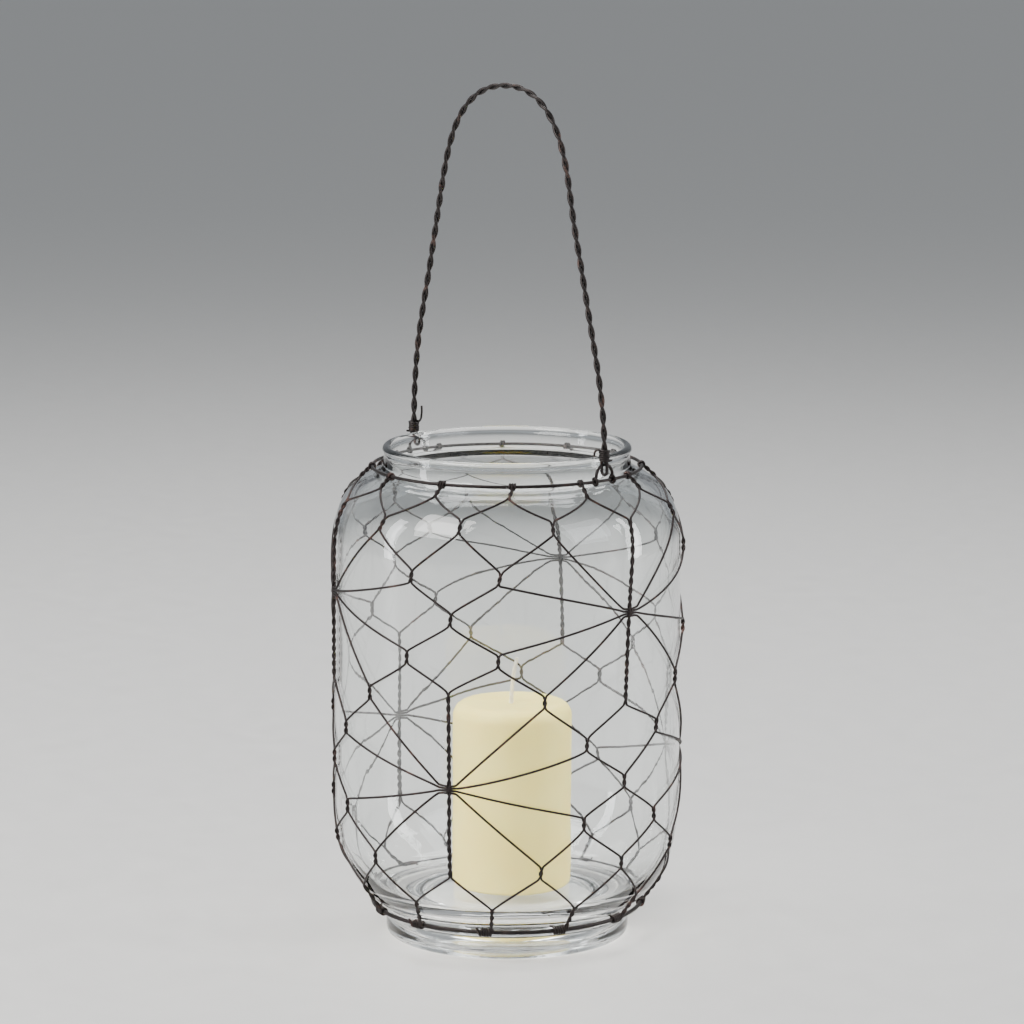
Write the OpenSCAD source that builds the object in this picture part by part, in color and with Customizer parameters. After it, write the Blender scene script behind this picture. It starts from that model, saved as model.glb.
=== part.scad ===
// Glass jar candle lantern: a blown glass jar in a sleeve of wire netting, hung from a twisted
// wire bail handle, with a pillar candle standing inside. Millimetres, +Z up, foot on z = 0.
// The handle's plane and its hinge axis lie along X.

/* [Jar] */
// Outside radius of the glass body
body_r = 81; // [79:0.5:83]
// Height of the top of the lip
jar_h = 232; // [230:0.5:236]
// Glass thickness of the body wall
wall = 2.8; // [2:0.1:4]
// Outside radius of the standing foot
foot_r = 57.2; // [55:0.2:58]
// Height of the floor inside the jar
floor_z = 20.5; // [18:0.5:24]
// Radius of the rounded bead that forms the lip
lip_bead = 2; // [1.9:0.1:2.5]

/* [Netting] */
// Thickness of the netting wire
net_wire_d = 1.1; // [0.8:0.05:1.2]
// Height between two rows of mesh joints
row_pitch = 19.35; // [19:0.05:19.5]
// Length of the twist at a mesh joint
twist_len = 5.8; // [4:0.1:7]
// How far the netting is skewed round the jar at its lower end, in degrees
net_skew = 4.4; // [0:0.1:6]

/* [Hoops] */
// Thickness of the neck hoop's wire
neck_hoop_d = 1.6; // [1.4:0.05:1.8]
// Thickness of the base hoop's wire
base_hoop_d = 2; // [1.8:0.05:2.1]
// Radius of the neck hoop's centre line
neck_hoop_r = 62.6; // [62.4:0.1:62.8]
// Radius of the base hoop's centre line
base_hoop_r = 63.5; // [63.4:0.1:63.8]

/* [Handle] */
// Height of the top of the handle's centre line
crown_z = 398; // [385:1:410]
// Thickness of one strand of the handle
strand_d = 1.5; // [1.3:0.05:1.6]
// Length of one full turn of the two handle strands
handle_pitch = 15.4; // [12:0.1:20]
// Angle that the handle is drawn at, upright being 0
handle_swing = 0; // [-75:1:75]

/* [Candle] */
// How far the loose candle stands from the jar's axis, along both X and Y
candle_off = 1.6; // [0:0.1:5]
// Candle diameter
candle_d = 55.8; // [40:0.2:60]
// Height of the candle's top above the jar floor
candle_h = 89.5; // [60:1:100]
// Length of wick that shows above the candle
wick_len = 20.5; // [10:0.5:25]

/* [Hidden] */
$fn = 96;
glass = [0.80, 0.86, 0.86, 0.45];
dark_wire = [0.17, 0.14, 0.13];
netting = [0.22, 0.18, 0.17];
wax = [0.89, 0.84, 0.69];
cotton = [0.93, 0.91, 0.85];

// ---- helpers -----------------------------------------------------------------------------
function unit(v) = v / norm(v);
function bez(p, t) = pow(1 - t, 3) * p[0] + 3 * pow(1 - t, 2) * t * p[1]
                   + 3 * (1 - t) * t * t * p[2] + pow(t, 3) * p[3];
function bez_dir(p, t) = unit(pow(1 - t, 2) * (p[1] - p[0]) + 2 * (1 - t) * t * (p[2] - p[1])
                   + t * t * (p[3] - p[2]));
function curve(p, n) = [for (i = [0:n]) bez(p, i / n)];

// Rings of a tube along a path. Each normal says which way the first vertex of its ring faces.
function tube_points(path, normals, r, sides) =
    [for (i = [0:len(path) - 1])
        let (t = unit(path[min(i + 1, len(path) - 1)] - path[max(i - 1, 0)]),
             b = unit(cross(t, normals[i])), m = cross(b, t))
        for (k = [0:sides - 1])
            path[i] + r * (cos(360 * k / sides) * m + sin(360 * k / sides) * b)];
function tube_faces(n, sides) = concat(
    [[for (k = [0:sides - 1]) sides - 1 - k]],
    [for (i = [0:n - 2], k = [0:sides - 1])
        let (a = i * sides + k, b = i * sides + (k + 1) % sides)
        [a, b, b + sides, a + sides]],
    [[for (k = [0:sides - 1]) (n - 1) * sides + k]]);
module tube(path, normals, r, sides) {
    polyhedron(points = tube_points(path, normals, r, sides),
               faces = [for (f = tube_faces(len(path), sides)) [for (i = [len(f) - 1:-1:0]) f[i]]],
               convexity = 10);
}

// ---- jar ---------------------------------------------------------------------------------
// Profiles as [radius, height]: four control points a curve, outside and then inside.
foot_h = 13.2;
base_top = 68;
shoulder_z = 186;
neck_out = [59.6, 220.4];
lip_r = 58;
lip_c = [lip_r - lip_bead, jar_h - lip_bead];
base_curve = [[foot_r, foot_h], [69.5, 22], [body_r, 33.2], [body_r, base_top]];
shoulder_curve = [[body_r, shoulder_z], [body_r, 205.7], [73.6, 214.4], neck_out];
neck_curve = [neck_out, [57.9, 221.1], [57.2, 224.2], lip_c + lip_bead * [cos(50), -sin(50)]];
inner_r = body_r - wall;
bore_r = lip_r - 2 * lip_bead;
inner_base = [[50, floor_z], [66, floor_z], [inner_r, floor_z + 13], [inner_r, base_top - 2]];
inner_shoulder = [[inner_r, shoulder_z], [inner_r, 203.7], [71, 211.7], [bore_r + 2.8, 217.4]];
inner_neck = [[bore_r + 2.8, 217.4], [bore_r + 0.7, 218.3], [bore_r, 221.2], [bore_r, 226.6]];

module glass_jar() {
    color(glass) rotate_extrude()
        polygon(concat(
            [[0, 9.4], [38, 9], [44.6, 5.8], [47.4, 1.4], [49, 0]],
            [[foot_r - 1.8, 0], [foot_r - 0.5, 0.7], [foot_r, 2]],
            curve(base_curve, 14), curve(shoulder_curve, 14),
            [for (i = [1:6]) bez(neck_curve, i / 6)],
            [for (a = [-40:10:180]) lip_c + lip_bead * [cos(a), sin(a)]],
            [for (i = [5:-1:1]) bez(inner_neck, i / 6)],
            [for (i = [14:-1:0]) bez(inner_shoulder, i / 14)],
            [for (i = [14:-1:0]) bez(inner_base, i / 14)],
            [[0, floor_z]]));
}

// ---- hoops -------------------------------------------------------------------------------
neck_hoop_z = 222;
base_hoop_z = 15;
fit_gap = 0.05;
// Each hoop as [ring radius, height, wire thickness].
neck_hoop = [neck_hoop_r, neck_hoop_z, neck_hoop_d];
base_hoop = [base_hoop_r, base_hoop_z, base_hoop_d];

module hoop(h) {
    color(dark_wire) translate([0, 0, h[1]]) rotate_extrude()
        translate([h[0], 0]) circle(d = h[2], $fn = 24);
}
module neck_ring() { hoop(neck_hoop); }
module base_ring() { hoop(base_hoop); }

// A short coil of wire of thickness d, wound tight round hoop h and centred on the given angle.
module coil_on(h, angle, d, length) {
    turn = length / h[0] * 180 / PI;
    bore = h[2] / 2 + fit_gap;
    translate([0, 0, h[1]]) rotate([0, 0, angle - turn / 2]) rotate_extrude(angle = turn)
        translate([h[0], 0]) difference() {
            circle(r = bore + d, $fn = 32);
            circle(r = bore, $fn = 32);
        }
}

// ---- netting -----------------------------------------------------------------------------
// Joints sit on a lattice of columns and rows: whole columns on odd rows, half columns on even
// rows. Each strand keeps to its own lane, half a column wide. Where a lane meets a star the
// strand leaves the zigzag, runs in to the star's centre and out again.
columns = 12;
net_r = net_wire_d / 2;
lift = net_r + 0.25;
net_sides = 6;
pair = net_r + 0.06;
row_one_z = 203.6;
last_row = 10;
first_row_z = 218;
last_row_z = 28.6;
star_a = 3;
star_b = 7;
ray_first = 1.95;
ray_second = 3.8;
tail_slant = 3.2;

function lifted(p, t) = let (d = bez_dir(p, t)) bez(p, t) + lift * [d[1], -d[0]];
net_profile = [for (q = concat([for (i = [0:24]) lifted(base_curve, i / 24)],
                               [for (i = [0:24]) lifted(shoulder_curve, i / 24)])) [q[1], q[0]]];
function net_radius(z) = lookup(z, net_profile);
function skew(z) = 6.6 * exp(-(neck_hoop_z - z) / (2 * row_pitch)) - net_skew;
function on_net(angle, z) = let (a = angle + skew(z), r = net_radius(z)) [r * cos(a), r * sin(a), z];
function net_normal(p) = let (z = p[2], d = unit([net_radius(z + 0.5) - net_radius(z - 0.5), 1]))
    unit([p[0] / norm([p[0], p[1]]) * d[1], p[1] / norm([p[0], p[1]]) * d[1], -d[0]]);

function row_z(r) = r == 0 ? first_row_z : r == last_row ? last_row_z : row_one_z - row_pitch * (r - 1);
function half_twist(r) = r == 0 ? 0.55 : r == last_row ? 0.8 : twist_len / 2;
function col_angle(c) = 30 * (c - 4);
function mm_angle(mm, z) = mm / net_radius(z) * 180 / PI;

// Which column a lane's strand touches on a row, and on which side of the joint it lies.
function touch_col(k, r) = (k + (k + r + 1) % 2) / 2;
function side(k, r) = touch_col(k, r) > k / 2 ? -1 : 1;

// Offset of a lane from the nearest star column, in lanes: 0 lies just right of the star.
function star_offset(k, row) = let (s = row == star_a ? 0 : 4) (k - s + 3 + 8 * 6) % 8 - 3;
function star_col(k, row) = (k - star_offset(k, row)) / 2;

// Way points of one lane as [angle, z] from top to bottom.
function joint_points(k, r) =
    let (z = row_z(r), h = half_twist(r), c = col_angle(touch_col(k, r)), s = side(k, r))
    [[c + mm_angle(s * pair, z + h), z + h], [c + mm_angle(s * pair, z - h), z - h]];
function star_points(k, row, o) =
    let (z = row_z(row), s = o >= 0 ? 1 : -1, reach = (o == 1 || o == -2) ? ray_first : ray_second,
         c = col_angle(star_col(k, row)))
    [[c + mm_angle(s * reach, z), z]];
function row_points(k, r) =
    let (shared = r == star_a + 2 && abs_o(k, star_b) < abs_o(k, star_a),
         star = r >= star_a - 2 && r <= star_a + 2 && !shared ? star_a : star_b,
         o = star_offset(k, star), away = abs(r - star))
    // lanes 0 and -1 are the star's spine: their strands run straight past the rows between
    (o == 0 || o == -1) && away < 2 ? []
    : (o == 1 || o == -2) && away == 1 ? []
    : (o == 1 || o == -2 || o == 2 || o == -3) && away == 0 ? star_points(k, star, o)
    : joint_points(k, r);
function abs_o(k, star) = let (o = star_offset(k, star)) o < 0 ? -1 - o : o;

function lane_way(k) = [for (r = [0:last_row], p = row_points(k, r)) p];

// Fill a way with extra points, so that the wire follows the glass.
function curved(p, q) = max(p[1], q[1]) > shoulder_z + 6 || min(p[1], q[1]) < base_top - 12;
function steps(p, q) = max(1, ceil(abs(q[0] - p[0]) / 7.6), curved(p, q) ? ceil(abs(q[1] - p[1]) / 5) : 1);
function filled(way) = concat(
    [for (i = [0:len(way) - 2]) let (n = steps(way[i], way[i + 1]))
        for (j = [0:n - 1]) way[i] + (way[i + 1] - way[i]) * j / n],
    [way[len(way) - 1]]);
function reversed(v) = [for (i = [len(v) - 1:-1:0]) v[i]];

tail_z = 19;
function tail(k) = let (c = col_angle(touch_col(k, last_row)), s = side(k, last_row))
    [[c - tail_slant + mm_angle(s * pair, tail_z), tail_z]];
function lane_path(k) = [for (p = filled(concat(lane_way(k), tail(k)))) on_net(p[0], p[1])];

// One netting wire: up one lane, over a small bend under the neck hoop, and down the next lane.
module net_wire(number) {
    k = 2 * (number - 1);
    bend = [on_net(col_angle(k / 2 + 0.5), first_row_z + 1.1)];
    path = concat(reversed(lane_path(k)), bend, lane_path(k + 1));
    color(netting) tube(path, [for (p = path) net_normal(p)], net_r, net_sides);
}

module neck_wraps() {
    color(netting) for (j = [0:columns - 1])
        coil_on(neck_hoop, col_angle(j + 0.5) + skew(neck_hoop_z), net_wire_d, 2.4);
}
module base_knots() {
    color(netting) for (j = [0:columns - 1])
        coil_on(base_hoop, col_angle(j + 0.5) - tail_slant - 0.6 + skew(base_hoop_z), net_wire_d, 5.6);
}

// ---- handle ------------------------------------------------------------------------------
hinge_z = neck_hoop_z + 2;
eyelet_d = 1.5;
eyelet_r = 5.3;
loop_d = 1.5;
loop_half = 1.65;
loop_low = 0.6;
bind_low = eyelet_r + eyelet_d / 2 + 0.15;
bind_len = 6.5;
bind_r = loop_half + loop_d / 2 + 0.1;
strand_r = strand_d / 2;
helix_r = strand_r + 0.08;
strand_from = 3.6;

module eyelet(turn) {
    color(dark_wire) rotate([0, 0, turn]) {
        translate([neck_hoop_r, 0, hinge_z]) rotate([90, 0, 90])
            rotate_extrude(angle = 180) translate([eyelet_r, 0]) circle(d = eyelet_d, $fn = 24);
        for (s = [-1, 1]) {
            translate([neck_hoop_r, s * eyelet_r, hinge_z - 0.55])
                cylinder(d = eyelet_d, h = 0.55, $fn = 24);
            coil_on(neck_hoop, s * asin(eyelet_r / neck_hoop_r), eyelet_d, 1.6);
        }
    }
}
module eyelet_right() { eyelet(0); }
module eyelet_left() { eyelet(180); }

// Centre line of the handle from the right binding to the crown, in the plane of X and Z.
leg_top = [47, 326];
leg_curve = [[neck_hoop_r, hinge_z + bind_low + strand_from], [neck_hoop_r + 0.4, 264], [56, 288], leg_top];
crown_curve = [leg_top, leg_top + [-7.4, 0.4 * (crown_z - leg_top[1])], [38.5, crown_z], [0, crown_z]];
half_line = concat(curve(leg_curve, 60), [for (i = [1:60]) bez(crown_curve, i / 60)]);
whole_line = concat(half_line, [for (i = [len(half_line) - 2:-1:0]) [-half_line[i][0], half_line[i][1]]]);
run = [for (i = 0, s = 0; i < len(whole_line);
        s = s + (i + 1 < len(whole_line) ? norm(whole_line[i + 1] - whole_line[i]) : 0), i = i + 1) s];
total_run = run[len(run) - 1];
line_table_x = [for (i = [0:len(run) - 1]) [run[i], whole_line[i][0]]];
line_table_z = [for (i = [0:len(run) - 1]) [run[i], whole_line[i][1]]];
function line_at(s) = [lookup(s, line_table_x), lookup(s, line_table_z)];
function line_dir(s) = unit(line_at(min(s + 0.5, total_run)) - line_at(max(s - 0.5, 0)));
strand_steps = ceil(total_run / handle_pitch * 8);

module handle_strand(start) {
    path = [for (i = [0:strand_steps])
        let (s = total_run * i / strand_steps, c = line_at(s), d = line_dir(s),
             a = start + 360 * s / handle_pitch, u = cos(a) * helix_r, v = sin(a) * helix_r)
        [c[0] + d[1] * u, v, c[1] - d[0] * u]];
    normals = [for (i = [0:strand_steps])
        let (d = line_dir(total_run * i / strand_steps)) [d[1], 0, -d[0]]];
    color(dark_wire) swung() tube(path, normals, strand_r, 6);
}
module swung() {
    translate([0, 0, hinge_z]) rotate([handle_swing, 0, 0]) translate([0, 0, -hinge_z]) children();
}
module handle_strand_a() { handle_strand(0); }
module handle_strand_b() { handle_strand(180); }

// The loop that hangs in an eyelet, with the binding above it that grips both strands.
module handle_end(turn) {
    color(dark_wire) swung() rotate([0, 0, turn]) translate([neck_hoop_r, 0, hinge_z]) {
        translate([0, 0, loop_low + loop_half]) rotate([-90, 0, 0])
            rotate_extrude(angle = 180) translate([loop_half, 0]) circle(d = loop_d, $fn = 24);
        for (s = [-1, 1]) translate([s * loop_half, 0, loop_low + loop_half])
            cylinder(d = loop_d, h = bind_low - loop_low - loop_half + 1, $fn = 24);
        difference() {
            translate([0, 0, bind_low]) cylinder(r = bind_r, h = bind_len, $fn = 40);
            translate([0, 0, bind_low + strand_from - 0.6])
                cylinder(r = 2 * strand_r + 0.25, h = bind_len, $fn = 40);
        }
    }
}
module handle_end_right() { handle_end(0); }
module handle_end_left() { handle_end(180); }

// ---- candle ------------------------------------------------------------------------------
candle_z = floor_z + 0.1;
candle_r = candle_d / 2;
shoulder_round = 6.5;
wick_r = 1;
wick_curve = [[0, 0, candle_h], [0, 0, candle_h + wick_len * 0.4],
              [0.6, 0.6, candle_h + wick_len * 0.7], [1.7, 1.7, candle_h + wick_len]];

module candle() {
    color(wax) translate([candle_off, candle_off, candle_z]) rotate_extrude()
        polygon(concat(
            [[wick_r + fit_gap, 0], [candle_r - 1.2, 0], [candle_r - 0.35, 0.35], [candle_r, 1.2]],
            [for (a = [0:10:90]) [candle_r - shoulder_round, candle_h - shoulder_round]
                + shoulder_round * [cos(a), sin(a)]],
            [[wick_r + fit_gap, candle_h]]));
}
module wick() {
    color(cotton) translate([candle_off, candle_off, candle_z]) {
        path = concat([[0, 0, 0.4], [0, 0, candle_h]], [for (i = [1:8]) bez(wick_curve, i / 8)]);
        tube(path, [for (p = path) [0, 1, 0]], wick_r, 14);
    }
}

// ---- what is drawn -----------------------------------------------------------------------
glass_jar();
neck_ring();
base_ring();
eyelet_right();
eyelet_left();
neck_wraps();
base_knots();
net_wire(1);  // net_wire_01
net_wire(2);  // net_wire_02
net_wire(3);  // net_wire_03
net_wire(4);  // net_wire_04
net_wire(5);  // net_wire_05
net_wire(6);  // net_wire_06
net_wire(7);  // net_wire_07
net_wire(8);  // net_wire_08
net_wire(9);  // net_wire_09
net_wire(10);  // net_wire_10
net_wire(11);  // net_wire_11
net_wire(12);  // net_wire_12
handle_strand_a();
handle_strand_b();
handle_end_right();
handle_end_left();
candle();
wick();
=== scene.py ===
import math
import random

import bpy
import numpy as np
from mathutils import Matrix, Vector, noise


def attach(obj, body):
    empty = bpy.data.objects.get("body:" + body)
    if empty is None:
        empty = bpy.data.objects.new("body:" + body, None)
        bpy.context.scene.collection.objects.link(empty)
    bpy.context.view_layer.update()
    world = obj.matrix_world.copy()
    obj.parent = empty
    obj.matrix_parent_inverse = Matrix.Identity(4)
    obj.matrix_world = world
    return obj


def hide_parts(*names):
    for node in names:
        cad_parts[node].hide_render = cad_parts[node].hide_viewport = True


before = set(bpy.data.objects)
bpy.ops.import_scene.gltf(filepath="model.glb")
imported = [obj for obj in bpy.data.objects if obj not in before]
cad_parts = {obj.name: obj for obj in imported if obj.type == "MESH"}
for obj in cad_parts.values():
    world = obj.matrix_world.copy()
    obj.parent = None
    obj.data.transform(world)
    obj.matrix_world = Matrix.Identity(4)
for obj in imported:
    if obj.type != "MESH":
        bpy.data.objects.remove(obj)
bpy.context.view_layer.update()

# The look of a glass jar lantern: a blown glass jar in a sleeve of twisted wire netting, a bail
# handle of two twisted strands, and a pillar candle. Lengths in the shape code are millimetres
# and become metres when a mesh is made.

MM = 0.001
TAU = 2 * math.pi


# ---- camera --------------------------------------------------------------------------------
CAM_SIDE = 45  # degrees round the jar from its front, towards +X
CAM_AZIMUTH = math.radians(CAM_SIDE)
CAM_ELEVATION = math.radians(9.84)
CAM_DISTANCE = 1.943
CAM_FOV = math.radians(14)
AIM_HEIGHT = 0.1998
AIM_RIGHT = 0.00233  # the jar stands a little left of the picture's middle


def add_camera():
    data = bpy.data.cameras.new("camera")
    data.sensor_width = 36
    data.lens = data.sensor_width / 2 / math.tan(CAM_FOV / 2)
    cam = bpy.data.objects.new("camera", data)
    bpy.context.scene.collection.objects.link(cam)
    right = Vector((math.cos(CAM_AZIMUTH), math.sin(CAM_AZIMUTH), 0))
    out = Vector((math.sin(CAM_AZIMUTH), -math.cos(CAM_AZIMUTH), 0))
    aim = Vector((0, 0, AIM_HEIGHT)) + right * AIM_RIGHT
    cam.location = aim + CAM_DISTANCE * (out * math.cos(CAM_ELEVATION)
                                         + Vector((0, 0, math.sin(CAM_ELEVATION))))
    cam.rotation_euler = (aim - cam.location).to_track_quat("-Z", "Y").to_euler()
    data.clip_start, data.clip_end = 0.05, 200
    bpy.context.scene.camera = cam


# ---- materials -----------------------------------------------------------------------------
class Nodes:
    """A material's node tree, with short calls for the nodes that the materials share."""

    def __init__(self, name):
        self.mat = bpy.data.materials.new(name)
        self.mat.use_nodes = True
        self.tree = self.mat.node_tree
        self.shader = self.tree.nodes["Principled BSDF"]
        self.coords = self.tree.nodes.new("ShaderNodeTexCoord").outputs["Object"]

    def link(self, a, b):
        self.tree.links.new(a, b)

    def set(self, **values):
        for key, value in values.items():
            self.shader.inputs[key.replace("_", " ")].default_value = value

    def stretch(self, scale):
        node = self.tree.nodes.new("ShaderNodeMapping")
        node.inputs["Scale"].default_value = scale
        self.link(self.coords, node.inputs["Vector"])
        return node.outputs["Vector"]

    def noise(self, scale, detail=4, rough=0.55, vector=None, distortion=0.0):
        node = self.tree.nodes.new("ShaderNodeTexNoise")
        node.inputs["Scale"].default_value = scale
        node.inputs["Detail"].default_value = detail
        node.inputs["Roughness"].default_value = rough
        node.inputs["Distortion"].default_value = distortion
        self.link(vector or self.coords, node.inputs["Vector"])
        return node.outputs["Fac"]

    def ramp(self, fac, stops):
        node = self.tree.nodes.new("ShaderNodeValToRGB")
        ramp = node.color_ramp
        while len(ramp.elements) < len(stops):
            ramp.elements.new(0.5)
        for element, (at, colour) in zip(ramp.elements, stops):
            element.position = at
            element.color = (*colour, 1) if len(colour) == 3 else colour
        self.link(fac, node.inputs["Fac"])
        return node.outputs["Color"]

    def remap(self, fac, low, high, to_low, to_high):
        node = self.tree.nodes.new("ShaderNodeMapRange")
        for key, value in (("From Min", low), ("From Max", high), ("To Min", to_low), ("To Max", to_high)):
            node.inputs[key].default_value = value
        self.link(fac, node.inputs["Value"])
        return node.outputs["Result"]

    def mix(self, fac, a, b):
        node = self.tree.nodes.new("ShaderNodeMix")
        node.data_type = "RGBA"
        self.link(fac, node.inputs["Factor"])
        for value, socket in ((a, node.inputs[6]), (b, node.inputs[7])):
            if hasattr(value, "is_linked"):
                self.link(value, socket)
            else:
                socket.default_value = (*value, 1)
        return node.outputs[2]

    def add(self, a, b, scale=1.0):
        node = self.tree.nodes.new("ShaderNodeMath")
        node.operation = "MULTIPLY_ADD"
        self.link(b, node.inputs[0])
        node.inputs[1].default_value = scale
        self.link(a, node.inputs[2])
        return node.outputs[0]

    def bump(self, height, distance, strength=1.0):
        node = self.tree.nodes.new("ShaderNodeBump")
        node.inputs["Strength"].default_value = strength
        node.inputs["Distance"].default_value = distance
        self.link(height, node.inputs["Height"])
        self.link(node.outputs["Normal"], self.shader.inputs["Normal"])


def wire_material(name, steel, rust, rust_from, roughness):
    """Dark annealed steel wire: mottled oxide, patches of rust, fine pits."""
    n = Nodes(name)
    patches = n.noise(95, 5, 0.6)
    grain = n.noise(900, 3, 0.6)
    mottled = n.mix(n.remap(grain, 0.35, 0.7, 0, 1), steel, tuple(c * 2.1 for c in steel))
    rusty = n.ramp(grain, [(0.3, tuple(c * 0.55 for c in rust)), (0.7, rust)])
    where = n.remap(n.add(patches, grain, 0.25), rust_from, rust_from + 0.14, 0, 1)
    n.link(n.mix(where, mottled, rusty), n.shader.inputs["Base Color"])
    n.link(n.remap(where, 0, 1, 0.82, 0.1), n.shader.inputs["Metallic"])
    n.link(n.remap(n.add(grain, patches, 0.6), 0.5, 1.1, roughness - 0.1, roughness + 0.25),
           n.shader.inputs["Roughness"])
    n.bump(n.add(grain, patches, 0.8), 0.00006, 0.8)
    n.set(Specular_IOR_Level=0.5)
    return n.mat


def glass_material():
    """Clear blown glass: a trace of grey-green, faint waves and drawn streaks, dust on the surface."""
    n = Nodes("clear_glass")
    waves = n.noise(16, 2, 0.4, n.stretch((1, 1, 0.55)), 0.3)
    streaks = n.noise(60, 3, 0.5, n.stretch((1, 1, 0.16)))
    dust = n.noise(240, 5, 0.7)
    tint = n.ramp(waves, [(0.2, (0.93, 0.955, 0.95)), (0.8, (0.975, 0.985, 0.98))])
    n.link(tint, n.shader.inputs["Base Color"])
    n.link(n.remap(dust, 0.55, 0.8, 0.0, 0.05), n.shader.inputs["Roughness"])
    n.bump(n.add(waves, streaks, 0.16), 0.0008, 0.5)
    n.set(IOR=1.5, Transmission_Weight=1.0, Metallic=0.0)
    return n.mat


def wax_material():
    """Cream paraffin wax: light passes a little way in, faint mottling and handling marks."""
    n = Nodes("candle_wax")
    cloud = n.noise(38, 4, 0.5)
    speck = n.noise(420, 4, 0.65)
    rubbed = n.noise(110, 4, 0.6, n.stretch((1, 1, 0.35)))
    colour = n.ramp(n.add(cloud, speck, 0.2), [(0.35, (0.95, 0.745, 0.18)), (0.75, (0.985, 0.81, 0.24))])
    n.link(colour, n.shader.inputs["Base Color"])
    n.link(n.remap(rubbed, 0.3, 0.75, 0.38, 0.6), n.shader.inputs["Roughness"])
    n.bump(n.add(n.add(rubbed, cloud, 0.8), speck, 0.15), 0.00035, 0.5)
    n.set(Subsurface_Weight=0.35, Subsurface_Radius=(1.0, 0.72, 0.35), Subsurface_Scale=0.004,
          IOR=1.44, Specular_IOR_Level=0.45)
    return n.mat


def wick_material():
    """Off-white braided cotton, a little waxy."""
    n = Nodes("wick_cotton")
    fibre = n.noise(1500, 4, 0.6, n.stretch((1, 1, 0.3)))
    stain = n.noise(160, 3)
    colour = n.mix(n.remap(fibre, 0.3, 0.75, 0, 1), (0.62, 0.57, 0.44), (0.86, 0.82, 0.70))
    colour = n.mix(n.remap(stain, 0.5, 0.75, 0, 0.5), colour, (0.66, 0.60, 0.44))
    n.link(colour, n.shader.inputs["Base Color"])
    n.link(n.remap(fibre, 0.3, 0.8, 0.65, 0.9), n.shader.inputs["Roughness"])
    n.bump(fibre, 0.00012, 0.9)
    n.set(Sheen_Weight=0.3, Sheen_Roughness=0.5)
    return n.mat


def floor_material():
    n = Nodes("pale_floor")
    grain = n.noise(55, 5, 0.6)
    colour = n.ramp(grain, [(0.3, (0.60, 0.59, 0.575)), (0.7, (0.63, 0.62, 0.605))])
    n.link(colour, n.shader.inputs["Base Color"])
    n.link(n.remap(grain, 0.3, 0.7, 0.5, 0.62), n.shader.inputs["Roughness"])
    n.bump(grain, 0.0003, 0.3)
    return n.mat


# ---- mesh making ---------------------------------------------------------------------------
# The rounded end of a wire, in wire radii: how far it stands out, and the radius it closes to.
TIP_OUT, TIP_R = 0.35, 0.62


def unit(v):
    """The vectors with a length of one."""
    return v / np.maximum(np.linalg.norm(v, axis=-1, keepdims=True), 1e-12)


def make_object(name, verts_mm, faces, material, body, slot):
    mesh = bpy.data.meshes.new(name)
    mesh.from_pydata((np.asarray(verts_mm) * MM).tolist(), [], faces)
    mesh.materials.append(material)
    mesh.polygons.foreach_set("use_smooth", [True] * len(mesh.polygons))
    mesh.update()
    obj = bpy.data.objects.new(name, mesh)
    bpy.context.scene.collection.objects.link(obj)
    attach(obj, body)
    return obj


def tube(path, radius, sides=8):
    """Vertices and faces of a wire along a path, with slightly rounded ends."""
    path = np.asarray(path, float)
    count = len(path)
    tangent = np.empty_like(path)
    tangent[1:-1] = path[2:] - path[:-2]
    tangent[0], tangent[-1] = path[1] - path[0], path[-1] - path[-2]
    tangent = unit(tangent)
    side = np.cross(tangent[0], (0.3, 0.5, 0.81))
    side = side / np.linalg.norm(side)
    sides_at = np.empty_like(path)
    for i in range(count):  # carry the first side along without twist
        side = side - tangent[i] * side.dot(tangent[i])
        side = side / np.linalg.norm(side)
        sides_at[i] = side
    other = np.cross(tangent, sides_at)
    radii = np.full(count, float(radius)) if np.isscalar(radius) else np.asarray(radius, float)
    angle = np.arange(sides) * TAU / sides
    ring = (np.cos(angle)[None, :, None] * sides_at[:, None, :]
            + np.sin(angle)[None, :, None] * other[:, None, :])
    verts = path[:, None, :] + ring * radii[:, None, None]
    start = path[0] - tangent[0] * radii[0] * TIP_OUT + ring[0] * radii[0] * TIP_R
    end = path[-1] + tangent[-1] * radii[-1] * TIP_OUT + ring[-1] * radii[-1] * TIP_R
    verts = np.concatenate([start, verts.reshape(-1, 3), end])
    rings = count + 2
    faces = []
    for i in range(rings - 1):
        a = i * sides
        for k in range(sides):
            k2 = (k + 1) % sides
            faces.append((a + k, a + k2, a + sides + k2, a + sides + k))
    faces.append(tuple(range(sides - 1, -1, -1)))
    last = (rings - 1) * sides
    faces.append(tuple(last + k for k in range(sides)))
    return verts, faces


def join(parts):
    """One vertex and face list from several."""
    verts, faces, base = [], [], 0
    for v, f in parts:
        verts.append(v)
        faces.extend(tuple(i + base for i in face) for face in f)
        base += len(v)
    return np.concatenate(verts), faces


def lathe(profile, segments, wobble):
    """A solid of revolution from a run of (r, z) that starts and ends on the axis, its vertices
    moved by wobble."""
    angle = np.arange(segments) * TAU / segments
    verts, faces = [np.array([[0, 0, profile[0][1]]])], []
    for r, z in profile[1:-1]:
        ring = np.stack([r * np.cos(angle), r * np.sin(angle), np.full(segments, float(z))], 1)
        verts.append(ring)
    verts.append(np.array([[0, 0, profile[-1][1]]]))
    verts = wobble(np.concatenate(verts))
    rings = len(profile) - 2
    for k in range(segments):
        k2 = (k + 1) % segments
        faces.append((0, 1 + k2, 1 + k))
        for i in range(rings - 1):
            a = 1 + i * segments
            faces.append((a + k, a + k2, a + segments + k2, a + segments + k))
        a = 1 + (rings - 1) * segments
        faces.append((a + k, a + k2, len(verts) - 1))
    return verts, faces


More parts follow.
